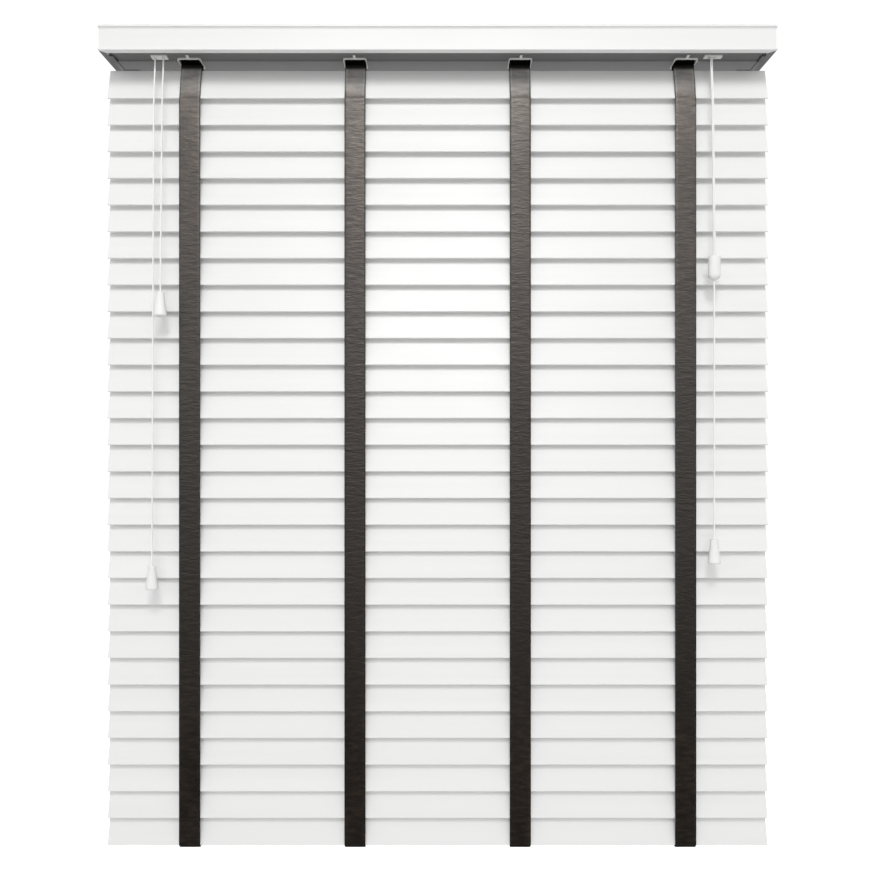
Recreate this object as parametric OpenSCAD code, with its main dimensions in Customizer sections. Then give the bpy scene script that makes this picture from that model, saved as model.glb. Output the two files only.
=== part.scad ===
// Cloth-taped venetian blind with 50 mm slats, hanging closed with the room-side edges down.
// X runs along the slats, -Y faces the room and Z is up. The origin is the middle of the top fixing face.

/* [Slats] */
// Length of a slat
slat_len = 1040; // [1020:1:1044]
// Width of a slat
slat_w = 50.8; // [50:0.1:51.2]
// Thickness of a slat
slat_t = 3; // [2.6:0.1:3]
// Radius along a slat's long edges
slat_edge_r = 1.3; // [0.4:0.1:1.3]
// Height from one slat to the next
pitch = 42; // [41:0.5:43]
// Angle of the closed slats from upright
closed_tilt = 15; // [15:0.5:18]
// Width of a route hole, along the slat
route_w = 6; // [5:0.5:8]
// Length of a route hole, across the slat
route_len = 20; // [19:0.5:24]

/* [Bottom rail] */
// Width of the bottom rail
rail_w = 51.6; // [50.8:0.2:52]
// Thickness of the bottom rail
rail_t = 11; // [9:0.5:12]

/* [Headrail] */
// Depth of the steel channel, from front to back
channel_d = 57; // [56:0.5:57]
// Length of the steel channel
channel_len = 1012; // [1000:1:1012]
// Thickness of the channel's steel
channel_t = 1; // [0.8:0.1:1]
// Height of the whole headrail, from its fixing face to its underside
head_h = 40; // [40:0.5:42]

/* [Valance] */
// Length of the valance over its mouldings
valance_len = 1040; // [1038:1:1060]
// Thickness of the valance board
valance_t = 8.8; // [8:0.1:8.8]
// How far the mouldings stand out of the board's face
bead = 1.5; // [1:0.1:2]

/* [Ladder tapes and cords] */
// Width of a ladder tape
tape_w = 33; // [25:1:36]
// Thickness of a ladder tape
tape_t = 1; // [0.8:0.1:1]
// Diameter of a lift cord
lift_cord_d = 1.8; // [1.4:0.1:1.8]
// Diameter of a tilt cord, and of the single pull below the joiner
pull_cord_d = 2.2; // [1.8:0.1:2.4]

/* [Tilter] */
// Teeth on the tilter's gear, which is also the worm's ratio
gear_teeth = 25; // [25]
// Size of a gear tooth, as its module
gear_module = 0.65; // [0.64:0.01:0.65]
// Diameter of the tilt rod
rod_d = 6; // [5:0.5:6]

/* [Hidden] */
$fn = 48;
slat_count = 28;
gathered = 3;
first_slat_z = -73.2;
first_cell = slat_count - gathered + 1;

function slat_z(k) = first_slat_z - pitch * (k - 1);
function slat_name(k) = str("slat_", k < 10 ? "0" : "", k);
function cell_name(k) = k > slat_count ? "ladder_cell_rail" : str("ladder_cell_", k);
rail_z = slat_z(slat_count + 1);

// Places along the blind
tape_x = [-390, -130, 130, 390];
tilter_x = -434;
lock_x = 426.6;

// Headrail section
sheet = 1.2;
head_gap = 0.5;
channel_top = -sheet - head_gap;
step_y = -7;
step_h = 2;
floor_z = -head_h + channel_t;
front_floor_z = floor_z + step_h;
lip_w = 5.5;
hem_h = 3;

// Valance mouldings
crown_h = 4;
quirk_h = 0.7;
cove_r = 6.4;
cove_h = 3.7;
foot_h = 4;
valance_front = -46.5;
valance_back = valance_front + valance_t;
valance_half = valance_len / 2 - bead;

// Brackets
bracket_in = channel_d / 2 + 0.2;
bracket_x = 509.3;
bracket_w = 29.3;
bracket_lip = 6;
screw_x = 495;
screw_r = 2.3;
top_screw_y = 13;
back_screw_z = 9;
side_screw_y = 10;
screw_mid_z = -20.5;

// Tilt shaft and drums
rod_z = -26;
rod_end_x = 412;
drum_r = 6;
cheek_r = 8.5;
hub_r = 4.5;
run = 0.05;
drum_half = 18.5;
cradle_half = 22.2;

// The hole in a cradle that its two tapes leave by
exit_half = 17;
exit_front = -15.4;
exit_back = 16.4;
exit_wall = 1.3;
exit_corner_r = 3.2;
cradle_top = -35.4;
cradle_front = -20;
cradle_back = 20.5;
saddle_t = 2.6;
saddle_x = drum_half + 2.2;

// Where a lift cord turns along the headrail, under its drum
cord_turn = [6.2, -33.9];

// Tilter
worm_z = -14;
pulley_y = -21;
pulley_r = 6.5;
gear_face = 4;
tooth_pitch = PI * gear_module;
gear_r = gear_teeth * gear_module / 2;
worm_r = rod_z * -1 + worm_z - gear_r;
worm_turns = 5;
flank = 20;
backlash = 0.25;

// The front and rear edge of a closed slat, seen from its centre
edge = [sin(closed_tilt), cos(closed_tilt)] * slat_w / 2;
tape_y = edge[0] + slat_t / 2 + 1.5;

// Cords that hang in the room
hang_y = -36;
long_cord_x = tilter_x - pulley_r;
short_cord_x = tilter_x + pulley_r;
long_tassel_top = -829;
short_tassel_top = -408;
joiner_top = -352;
lift_tassel_top = -789;
tassel_h = 37;
tassel_foot_r = 10.2;
tassel_top_r = 6.2;
joiner_h = 37;
joiner_r = 9.2;
knot_d = 5.2;
tilt_route = [[0, -21, -13], [0, -21, -30], [0, -21, -42], [0, -22, -60], [0, -24, -85],
              [0, -28, -120], [0, -32, -160], [0, -35, -200], [0, -36, -240]];
pull_route = [[0, -22, -37], [0, -22, -48], [0, -24, -75], [0, -28, -110], [0, -32, -150],
              [0, -35, -190], [0, -36, -230]];

function unit(v) = v / norm(v);

// The points of an arc about c, between two angles
function arc(c, r, from, to, steps = 6) =
    [for (s = [0:steps]) let (a = from + (to - from) * s / steps) c + r * [cos(a), sin(a)]];

// ---------- shapes shared by several pieces ----------

// Extrudes a (Y, Z) section along X, centred
module along_x(length) rotate([90, 0, 90]) linear_extrude(length, center = true) children();

// Extrudes an (X, Z) outline along Y, centred
module along_y(length) rotate([90, 0, 0]) linear_extrude(length, center = true) children();

module both_ends() for (side = [0, 1]) mirror([side, 0, 0]) children();

module at_tapes() for (x = tape_x) translate([x, 0, 0]) children();

module round_x(r, length) rotate([0, 90, 0]) cylinder(r = r, h = length, center = true);

module round_y(r, length) rotate([90, 0, 0]) cylinder(r = r, h = length, center = true);

// A box given by its lowest corner and its highest corner
module block(low, high) translate(low) cube(high - low);

// A convex outline with rounded corners
module rounded(p, r) {
    n = len(p);
    corner = [for (i = [0:n - 1])
        let (a = unit(p[(i + n - 1) % n] - p[i]), b = unit(p[(i + 1) % n] - p[i]), half = acos(a * b) / 2)
        [p[i] + a * r / tan(half), p[i] + b * r / tan(half), p[i] + unit(a + b) * r / sin(half)]];
    polygon([for (c = corner) each [c[0], c[1]]]);
    for (c = corner) translate(c[2]) circle(r);
}

module rounded_rect(low, high, r) rounded([low, [high[0], low[1]], high, [low[0], high[1]]], r);

// A stadium slot, w wide along the first axis and length long along the second
module slot(w, length) {
    square([w, length - w], center = true);
    for (end = [-1, 1]) translate([0, end * (length - w) / 2]) circle(d = w);
}

// A strip of even thickness along a path, as an outline
function side_of(p, i) = let (d = unit(p[min(i + 1, len(p) - 1)] - p[max(i - 1, 0)])) [-d[1], d[0]];
function strip(p, t) = concat(
    [for (i = [0:len(p) - 1]) p[i] + side_of(p, i) * t / 2],
    [for (i = [len(p) - 1:-1:0]) p[i] - side_of(p, i) * t / 2]);

// A cord: eight-sided rings swept along a route, wider where it is knotted
cord_sides = 8;
function ring(p, i, d) =
    let (t = unit(p[min(i + 1, len(p) - 1)] - p[max(i - 1, 0)]), u = unit(cross(t, [1, 1, 1])), v = cross(t, u))
    [for (s = [0:cord_sides - 1]) p[i] + (u * cos(s * 360 / cord_sides) + v * sin(s * 360 / cord_sides)) * d / 2];
module cord(p, d, knots = []) {
    m = cord_sides;
    polyhedron(
        [for (i = [0:len(p) - 1]) each ring(p, i, len(search(i, knots)) > 0 ? knot_d : d)],
        concat(
            [[for (s = [m - 1:-1:0]) s]],
            [for (i = [0:len(p) - 2], s = [0:m - 1])
                [i * m + s, i * m + (s + 1) % m, (i + 1) * m + (s + 1) % m, (i + 1) * m + s]],
            [[for (s = [0:m - 1]) (len(p) - 1) * m + s]]));
}

// A route with each inner corner rounded off, starting r before it
function eased(p, r) = concat([p[0]],
    [for (i = [1:len(p) - 2]) let (a = unit(p[i - 1] - p[i]), b = unit(p[i + 1] - p[i]))
        for (s = [0:1 / 3:1]) p[i] + (a * pow(1 - s, 2) + b * pow(s, 2)) * r],
    [p[len(p) - 1]]);

function shifted(p, by) = [for (q = p) q + by];

// ---------- headrail ----------

module channel_section() {
    half = channel_d / 2;
    t = channel_t;
    difference() {
        union() {
            rounded_rect([step_y, -head_h], [half, channel_top], 1.6);
            rounded_rect([-half, -head_h + step_h], [step_y + 4, channel_top], 1.6);
        }
        rounded_rect([step_y + t, -head_h + t], [half - t, channel_top - t], 0.6);
        rounded_rect([-half + t, front_floor_z], [step_y + t + 4, channel_top - t], 0.6);
        translate([0, channel_top]) square([channel_d - 2 * lip_w - 2 * t, 4 * t], center = true);
    }
    for (side = [-1, 1]) translate([side * (half - lip_w - t), channel_top - hem_h / 2]) {
        square([t, hem_h], center = true);
        translate([0, -hem_h / 2]) circle(d = t);
    }
}

module headrail() color("gainsboro") difference() {
    along_x(channel_len) channel_section();
    at_tapes() translate([0, 0, -head_h]) linear_extrude(12, center = true)
        exit_outline(exit_wall + 0.1);
    block([tilter_x - 12.6, -27.4, -head_h - 1], [tilter_x + 13.4, -13.8, -head_h + 6]);
    block([lock_x - 12, -27.4, -head_h - 1], [lock_x + 16.6, -16.6, -head_h + 6]);
}

module bracket_holes() {
    for (s = [-1, 1]) {
        translate([screw_x, s * top_screw_y, 0]) cylinder(r = screw_r, h = 6, center = true);
        translate([screw_x, bracket_in, screw_mid_z + s * back_screw_z]) round_y(screw_r, 8);
        translate([bracket_x, s * side_screw_y, screw_mid_z]) round_x(screw_r, 6);
    }
    translate([bracket_x, -23, -8]) round_x(2 + run, 6);
}

// A steel box that holds the channel's end, open to the room and towards the blind.
// Its bottom is cut back to a lip under the channel's end and another along the wall
module bracket() difference() {
    translate([bracket_x - bracket_w / 2, 0, 0]) along_x(bracket_w)
        rounded_rect([-channel_d / 2, -head_h - sheet - 0.2], [bracket_in + sheet, 0], 2);
    translate([bracket_x - bracket_w / 2 - sheet, 0, 0]) along_x(bracket_w)
        rounded_rect([-channel_d, -head_h - 0.2], [bracket_in, -sheet], 0.8);
    block([bracket_x - bracket_w - 1, -channel_d, -head_h - 4],
          [bracket_x - bracket_lip, bracket_in - bracket_lip, -head_h + 1]);
    bracket_holes();
}

module brackets() color("silver") both_ends() bracket();

// The cover that closes a bracket to the room, turned on a rivet in the bracket's side
module gate() {
    plate_y = -channel_d / 2 - 0.3;
    difference() {
        translate([0, plate_y - sheet / 2, 0]) along_y(sheet)
            rounded_rect([bracket_x - bracket_w, -head_h + 4], [bracket_x, -1.5], 2.5);
        translate([screw_x, plate_y, screw_mid_z]) along_y(4) slot(3, 14);
    }
    difference() {
        block([bracket_x - 2.4, plate_y - sheet / 2, -14], [bracket_x - 1.4, -18, -2]);
        translate([bracket_x, -14, -17]) round_x(6, 8);
    }
    translate([bracket_x - 1, -23, -8]) round_x(2, 2);
}

module bracket_gates() color("lightgrey") both_ends() gate();

// ---------- valance ----------

// The moulding, with its back at 0 and its face towards negative first coordinates: a thumb-shaped
// crown, a quirk, a cove, the flat face and a half-round foot
module valance_section() {
    face = -valance_t;
    meet = 180 - acos(1 - bead / 2);
    polygon(concat([[0, 0]],
        arc([face - bead + 1.5, -1.5], 1.5, 90, 180),
        arc([face - bead + 0.8, -crown_h + 0.8], 0.8, 180, 270),
        [[face - 0.2, -crown_h], [face - 0.2, -crown_h - quirk_h]],
        arc([face - cove_r, -crown_h - quirk_h - cove_h], cove_r, 34, 0),
        arc([face - bead + foot_h / 2, -head_h + foot_h / 2], foot_h / 2, meet, 360 - meet, 12),
        [[face + 0.6, -head_h], [0, -head_h]]));
}

// Everything on the board's side of the two mitred corners
module mitre_side() translate([0, 0, -head_h / 2]) linear_extrude(head_h + 4, center = true) polygon([
    [-valance_half - 10, valance_front - 10], [valance_half + 10, valance_front - 10],
    [valance_half - 40, valance_front + 40], [-valance_half + 40, valance_front + 40]]);

module valance_board() color("white") intersection() {
    translate([0, valance_back, 0]) along_x(valance_len + 10) valance_section();
    mitre_side();
}

module valance_returns() color("white") difference() {
    both_ends() translate([valance_half - valance_t, 0, 0]) rotate([90, 0, 0])
        translate([0, 0, -channel_d / 2]) linear_extrude(channel_d / 2 - valance_front + 4)
            mirror([1, 0]) valance_section();
    mitre_side();
}

// A spring clip: its hook grips the channel's front lip, and its foot is fixed to the board
module valance_clips() color("silver") for (x = [-400, 0, 400]) translate([x, 0, 0]) {
    front = -channel_d / 2;
    path = [[valance_back + 0.5, -24], [valance_back + 0.5, -3.2], [valance_back + 1.4, -0.9],
            [front + 4.4, -0.9], [front + 4.6, -1.5]];
    along_x(16) polygon(strip(path, 0.8));
    along_x(16) polygon(strip([[valance_back + 0.9, -18], [front - 0.6, -14], [front - 0.6, -5]], 0.8));
}

// ---------- inside the headrail ----------

// An upright with a snap-in bearing for the drum's hub and a hole for the lift cord
module saddle() difference() {
    along_x(saddle_t) rounded([[-10, -36.5], [10, -36.5], [7.4, -20.6], [-7.4, -20.6]], 1.2);
    translate([0, 0, rod_z]) round_x(hub_r + run, 6);
    block([-3, -hub_r + 0.3, rod_z], [3, hub_r - 0.3, -15]);
    translate([0, cord_turn[0], cord_turn[1]]) round_x(lift_cord_d / 2 + 0.35, 6);
}

// The outline of the hole that two tapes leave by, made larger all round
module exit_outline(grow) rounded_rect([-exit_half, exit_front] - [grow, grow],
                                       [exit_half, exit_back] + [grow, grow], exit_corner_r + grow / 2);

// The plastic frame that snaps into the floor, guides the tapes out and carries a drum in two saddles
module cradle() {
    difference() {
        union() {
            block([-cradle_half, cradle_front, front_floor_z + 0.05], [cradle_half, cradle_back, cradle_top]);
            block([-cradle_half, step_y + channel_t + 0.7, floor_z + 0.1],
                  [cradle_half, cradle_back, cradle_top - 1]);
            translate([0, 0, -head_h - 0.4]) linear_extrude(head_h + cradle_top) exit_outline(exit_wall);
        }
        translate([0, 0, -head_h]) linear_extrude(12, center = true) exit_outline(0);
    }
    for (side = [-1, 1]) translate([side * saddle_x, 0, 0]) {
        saddle();
        for (y = [-12, 12]) block([-1.1, y - 0.8, cradle_top - 1], [1.1, y + 0.8, cradle_top + 6]);
    }
    // The latch that shows under the channel, in front of the tapes
    latch_z = -head_h + step_h;
    block([-2, -26.4, latch_z - 0.7], [2, exit_front - 0.5, latch_z - 0.1]);
}

module cradles() color("whitesmoke") at_tapes() cradle();

module d_section(r) intersection() {
    circle(r);
    translate([0, r * 0.2]) square([2 * r, 2 * r], center = true);
}

module tilt_rod() color("silver")
    translate([(tilter_x - 12 + rod_end_x) / 2, 0, rod_z]) along_x(rod_end_x - tilter_x + 12) d_section(rod_d / 2);

module ladder_drums() color("ivory") at_tapes() translate([0, 0, rod_z]) difference() {
    union() {
        round_x(hub_r, 2 * cradle_half);
        round_x(drum_r, 2 * drum_half);
        for (side = [-1, 1]) translate([side * (drum_half - 0.5), 0, 0]) round_x(cheek_r, 1);
    }
    along_x(3 * cradle_half) d_section(rod_d / 2 + run);
    for (turn = [75, 255]) rotate([turn, 0, 0]) translate([0, 0, drum_r]) cube([20, 1.6, 3], center = true);
}

// ---------- tilter ----------

gear_root = gear_r - 0.75;
gear_tip = gear_r + 0.55;
thread_w = 0.77;
tooth_w = tooth_pitch - thread_w - 2 * backlash;

module tooth() {
    top = tooth_w / 2 - (gear_tip - gear_r) * tan(flank);
    foot = tooth_w / 2 + (gear_r - gear_root) * tan(flank);
    polygon([[-foot, gear_root - 0.3], [-foot, gear_root], [-top, gear_tip],
             [top, gear_tip], [foot, gear_root], [foot, gear_root - 0.3]]);
}

module tilter_gear() color("ivory") translate([tilter_x, 0, rod_z]) difference() {
    union() {
        along_x(gear_face) {
            circle(gear_root);
            for (k = [0:gear_teeth - 1]) rotate(k * 360 / gear_teeth) tooth();
        }
        round_x(5.4, 2 * gear_face);
    }
    along_x(20) d_section(rod_d / 2 + run);
}

thread_tip = worm_r + 0.475;
thread_root = worm_r - 0.775;
crest_half = (thread_w / 2 - 0.475 * tan(flank)) / tooth_pitch * 360;
flank_turn = (thread_tip - thread_root) * tan(flank) / tooth_pitch * 360;
thread_points = 14;
function from_crest(a) = abs(((a + 180) % 360) - 180);
function thread_radius(a) =
    thread_tip - (thread_tip - thread_root) * min(1, max(0, (from_crest(a) - crest_half) / flank_turn));

// A left-hand worm thread along Z, with a groove facing +Y at mid height
module thread() {
    length = worm_turns * tooth_pitch;
    translate([0, 0, -length / 2]) rotate(worm_turns * 180)
        linear_extrude(length, twist = worm_turns * 360, slices = worm_turns * 10)
            polygon([for (k = [0:thread_points - 1]) let (a = k * 360 / thread_points)
                thread_radius(a + 90) * [cos(a), sin(a)]]);
}

module pulley() rotate_extrude() polygon([[0, -2.6], [7.8, -2.6], [7.8, -2], [pulley_r - 1.4, -0.5],
    [pulley_r - 1.4, 0.5], [7.8, 2], [7.8, 2.6], [0, 2.6]]);

worm_bearing_r = 2.4;

module tilter_worm() color("darkgrey") translate([tilter_x, 0, worm_z]) {
    rotate([-90, 0, 0]) thread();
    translate([0, -6.4, 0]) round_y(worm_bearing_r, 36);
    translate([0, pulley_y, 0]) rotate([90, 0, 0]) pulley();
}

// The tilter's case, with round rooms for the gear, the worm and the cord pulley
module tilter_housing() color("whitesmoke") translate([tilter_x, 0, 0]) difference() {
    union() {
        along_x(25) rounded([[-26.9, front_floor_z + 0.1], [13, front_floor_z + 0.1], [13, -12],
                             [9, -7.6], [-16, -5.25], [-26.9, -5.4]], 1.2);
        block([-12, -26.8, -head_h], [12.8, -14.4, -33]);
    }
    translate([0, 0, rod_z]) round_x(gear_tip + 0.4, gear_face + 0.8);
    translate([0, 0, rod_z]) round_x(5.4 + 0.3, 2 * gear_face + 0.8);
    translate([0, 0, rod_z]) round_x(rod_d / 2 + 0.1, 40);
    translate([0, 0, worm_z]) round_y(thread_tip + 0.4, worm_turns * tooth_pitch + 0.8);
    translate([0, -6.4, worm_z]) round_y(worm_bearing_r + run, 37);
    translate([0, pulley_y, worm_z]) round_y(8.1, 5.8);
    for (side = [-1, 1]) translate([side * pulley_r, pulley_y, -28]) linear_extrude(40, center = true)
        slot(4.4, 6.2);
}

// ---------- cord lock ----------

lock_y = -22;
lock_z = -37;

module cord_lock_housing() color("whitesmoke") translate([lock_x, 0, 0]) difference() {
    union() {
        along_x(28) rounded([[-26.9, front_floor_z + 0.1], [-8, front_floor_z + 0.1], [-8, -18],
                             [-13, -14], [-26.9, -14]], 1.2);
        block([-11.4, -26.8, -head_h], [16, -17.2, -33]);
    }
    along_x(20) rounded([[-24.6, -34], [-6, -34.8], [-6, -28], [-13, -19], [-24.6, -24]], 0.8);
    along_x(20) rounded([[-9, -34.8], [-4, -34.8], [-4, -24], [-9, -26]], 0.6);
    translate([0, lock_y, lock_z]) linear_extrude(12, center = true) rotate(90) slot(6.4, 16);
    for (side = [-1, 1]) translate([side * 10.6, -14.2, -25.9]) rotate([35, 0, 0]) along_x(2.4) slot(4.2, 8.2);
}

// The knurled roller that pinches the lift cords, carried by its pin in two sloping slots
module lock_roller() color("goldenrod") translate([lock_x, -13.4, -27]) {
    difference() {
        round_x(2.9, 19);
        for (k = [0:11]) rotate([k * 30, 0, 0]) translate([0, 0, 3.05]) round_x(0.35, 20);
    }
    round_x(1.9, 22.6);
}

// ---------- lift cords ----------

// The four cords of the bundle lie side by side, two and two
bundle_step = 0.94;
function in_bundle(i) = [1 - floor(i / 2) * 2, 1 - (i % 2) * 2, 0] * bundle_step;

// Each cord rises through the slats, turns along the headrail behind the drum's saddle, runs in its own
// lane at the back of the channel and goes forward into the lock. The last one goes there directly
module lift_cord(i) {
    x = tape_x[i];
    back_y = 24.9 - 2.3 * floor(i / 2);
    lane_z = -37.7 + 2.3 * (i % 2);
    lie = slat_t / 2 + lift_cord_d / 2 + 0.3;
    top = [edge[0] - lie * cos(closed_tilt), first_slat_z + edge[1] + lie * sin(closed_tilt)];
    exit = [lock_x, lock_y, lock_z] + in_bundle(i);
    rise = -in_bundle(i)[1];
    corner = [x, cord_turn[0], cord_turn[1]];
    lane = i == 3 ? [] : [[x + 34, back_y, lane_z], [exit[0] - 8, back_y, lane_z], [exit[0], back_y - 8, -35 + rise]];
    cord(concat([[x, 0, rail_z + 5], [x, 0, first_slat_z + 11.5]],
        eased([[x, top[0], top[1]], corner, corner + [22.8, 0, 0]], 5), lane,
        [[exit[0], -6, -32.6 + rise], exit + [0, 5, 5], exit + [0, 1.2, 4.2], exit + [0, 0, 2], exit]), lift_cord_d);
}

module lift_cords() color("white") for (i = [0:3]) lift_cord(i);

// ---------- slats and bottom rail ----------

module route_holes(w, length, depth) at_tapes() along_y(depth) slot(w, length);

module slat(z) color("white") translate([0, 0, z]) rotate([-closed_tilt, 0, 0]) difference() {
    along_x(slat_len) rounded_rect([-slat_t, -slat_w] / 2, [slat_t, slat_w] / 2, slat_edge_r);
    route_holes(route_w, route_len, 4 * slat_t);
}

rail_front = -slat_t / 2;
rail_back = rail_front + rail_t;

module bottom_rail() color("white") translate([0, 0, rail_z]) rotate([-closed_tilt, 0, 0]) difference() {
    along_x(slat_len) rounded([[rail_front, -rail_w / 2], [rail_back - 3, -rail_w / 2],
        [rail_back, -rail_w / 2 + 4], [rail_back, rail_w / 2 - 4],
        [rail_back - 3, rail_w / 2], [rail_front, rail_w / 2]], 1.2);
    route_holes(route_w, route_len, 60);
}

module rail_buttons() color("white") translate([0, 0, rail_z]) rotate([-closed_tilt, 0, 0])
    at_tapes() translate([0, rail_back + tape_t + 0.15, 0]) rotate([-90, 0, 0]) {
        cylinder(d1 = 17, d2 = 15, h = 1.8);
        translate([0, 0, -4]) cylinder(r = 2.4, h = 4.5);
    }

// ---------- ladder tapes ----------

tape_mid = tape_y + tape_t / 2;

// The hanging stretch of the four front or rear tapes, between two heights
module tapes(side, high, low) at_tapes()
    block([-tape_w / 2, side * tape_mid - tape_t / 2, low], [tape_w / 2, side * tape_mid + tape_t / 2, high]);

// Where a front (-1) or rear (1) tape passes the edge of slat k
function tape_at(side, k) = slat_z(k) + side * edge[1];

module front_tapes() color("dimgrey") tapes(-1, tape_at(-1, 1) - 6.05, tape_at(-1, first_cell - 1));

module rear_tapes() color("dimgrey") tapes(1, tape_at(1, 1), tape_at(1, first_cell - 1));

// The stretch of tape from one slat to the next, in the part of the blind that gathers
module ladder_cell(k) color("dimgrey") for (side = [-1, 1])
    tapes(side, tape_at(side, k - 1), tape_at(side, k));

// From the drums to the first slat. The front tapes lie over that slat's face
module tape_leads() color("dimgrey") at_tapes() {
    off = slat_t / 2 + lift_cord_d + 0.9 + tape_t / 2;
    n = [-cos(closed_tilt), sin(closed_tilt)];
    centre = [0, first_slat_z];
    front = [[-drum_r - 0.9, rod_z], [-drum_r - 0.1, rod_z - 3.6], [0, -36.4], [1.6, -40.5],
             centre + edge + n * off, centre + n * off, centre - edge * 0.9 + n * (slat_t / 2 + 0.9),
             [-tape_mid, tape_at(-1, 1) - 2], [-tape_mid, tape_at(-1, 1) - 6]];
    rear = [[drum_r + 0.9, rod_z], [tape_mid, -36], [tape_mid, tape_at(1, 1)]];
    for (path = [front, rear]) along_x(tape_w) polygon(strip(path, tape_t));
}

// The tape ends, turned under the bottom rail and held by its buttons
module tape_ends() color("dimgrey") translate([0, 0, rail_z]) rotate([-closed_tilt, 0, 0]) at_tapes() {
    gap = 0.15 + tape_t / 2;
    low = rail_w / 2 + gap;
    back = rail_back + gap;
    difference() {
        for (side = [-1, 1]) along_x(tape_w) polygon(strip([[side < 0 ? rail_front : 4, side * low],
            [rail_back - 2.6, side * low], [back, side * (low - 4.3)], [back, side * 0.3]], tape_t));
        along_y(60) circle(2.8);
    }
}

// ---------- cords and tassels in the room ----------

// A turned, bell-shaped wooden tassel, with a hole for the cord and a pocket for its knot
function bell_r(s) = tassel_foot_r - (tassel_foot_r - tassel_top_r) * pow(sin(s * 90), 1.3);
module tassel(top, x) color("antiquewhite") translate([x, hang_y, top - tassel_h]) difference() {
    foot = 2.6;
    shoulder = 1.4;
    body = tassel_h - foot - shoulder;
    rotate_extrude() polygon(concat([[0, 0]],
        arc([bell_r(foot / tassel_h) - foot, foot], foot, -90, 0),
        [for (s = [0.1:0.1:1]) [bell_r((foot + s * body) / tassel_h), foot + s * body]],
        arc([tassel_top_r - shoulder, tassel_h - shoulder], shoulder, 15, 90),
        [[0, tassel_h]]));
    cylinder(r = pull_cord_d / 2 + 0.25, h = 3 * tassel_h, center = true);
    translate([0, 0, -0.1]) cylinder(r1 = 4.2, r2 = 3.4, h = 9);
}

// The end of a cord at x, in a tassel whose top is at this height
function knotted_end(x, top) = [for (z = [8, 7, 4, 3]) [x, hang_y, top - tassel_h + z]];
module knotted_cord(p, knots = []) cord(p, pull_cord_d, concat(knots, [len(p) - 3, len(p) - 2]));

module tilt_cord(x, top) color("white")
    knotted_cord(concat(shifted(tilt_route, [x, 0, 0]), [[x, hang_y, top]], knotted_end(x, top)));

module tilt_cord_long() tilt_cord(long_cord_x, long_tassel_top);
module tassel_long() tassel(long_tassel_top, long_cord_x);
module tilt_cord_short() tilt_cord(short_cord_x, short_tassel_top);
module tassel_short() tassel(short_tassel_top, short_cord_x);

// The cup that joins the four lift cords to the single pull
module cord_joiner() color("antiquewhite") translate([lock_x, hang_y, joiner_top - joiner_h]) difference() {
    rotate_extrude() polygon(concat([[0, 0]],
        arc([joiner_r - 7, 7], 7, -90, 0),
        arc([joiner_r - 1.6, joiner_h - 1.6], 1.6, 0, 90),
        [[0, joiner_h]]));
    translate([0, 0, 7]) cylinder(r = 4.6, h = joiner_h);
    cylinder(r = pull_cord_d / 2 + 0.25, h = joiner_h, center = true);
}

module pull_cords() color("white") {
    for (i = [0:3])
        cord(concat(shifted(pull_route, [lock_x, 0, 0] + in_bundle(i)),
            [for (z = [20, -20]) [lock_x, hang_y, joiner_top + z] + in_bundle(i)]), lift_cord_d);
    start = [for (z = [23, 24, 28, 29]) [lock_x, hang_y, joiner_top - z]];
    knotted_cord(concat(start, [[lock_x, hang_y, lift_tassel_top]], knotted_end(lock_x, lift_tassel_top)), [1, 2]);
}

module lift_tassel() tassel(lift_tassel_top, lock_x);

// ---------- the blind ----------

headrail();
brackets();
bracket_gates();
valance_board();
valance_returns();
valance_clips();
cradles();
tilter_housing();
cord_lock_housing();
lock_roller();
lift_cords();
tilt_rod();
ladder_drums();
tilter_gear();
tape_leads();
tilter_worm();
front_tapes();
rear_tapes();
for (k = [1:slat_count]) slat(slat_z(k));
for (k = [first_cell:slat_count + 1]) ladder_cell(k);
bottom_rail();
rail_buttons();
tape_ends();
tilt_cord_long();
tassel_long();
tilt_cord_short();
tassel_short();
pull_cords();
cord_joiner();
lift_tassel();
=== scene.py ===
"""Looks of the cloth-taped venetian blind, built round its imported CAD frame. Lengths are in metres."""

import math

import bpy
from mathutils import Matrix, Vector, noise


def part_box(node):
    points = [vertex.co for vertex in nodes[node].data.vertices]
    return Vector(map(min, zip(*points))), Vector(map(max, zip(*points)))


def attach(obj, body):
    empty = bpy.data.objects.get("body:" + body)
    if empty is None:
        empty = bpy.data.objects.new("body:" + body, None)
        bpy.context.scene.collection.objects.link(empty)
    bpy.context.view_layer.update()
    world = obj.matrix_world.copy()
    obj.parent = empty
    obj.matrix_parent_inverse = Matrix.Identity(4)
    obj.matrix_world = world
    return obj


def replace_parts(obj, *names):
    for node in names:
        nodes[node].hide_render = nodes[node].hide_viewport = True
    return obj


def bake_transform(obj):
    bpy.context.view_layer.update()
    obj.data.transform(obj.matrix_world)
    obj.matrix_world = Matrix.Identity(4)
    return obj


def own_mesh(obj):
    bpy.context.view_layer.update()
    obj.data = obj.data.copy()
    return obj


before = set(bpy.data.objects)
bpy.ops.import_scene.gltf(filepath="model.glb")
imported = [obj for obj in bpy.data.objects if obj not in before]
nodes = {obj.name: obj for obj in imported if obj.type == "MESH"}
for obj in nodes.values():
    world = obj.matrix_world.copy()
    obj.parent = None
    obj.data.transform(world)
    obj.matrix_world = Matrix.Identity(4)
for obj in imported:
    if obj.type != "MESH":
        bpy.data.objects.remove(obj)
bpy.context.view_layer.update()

# ---------- sizes that part.scad also uses ----------

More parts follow.
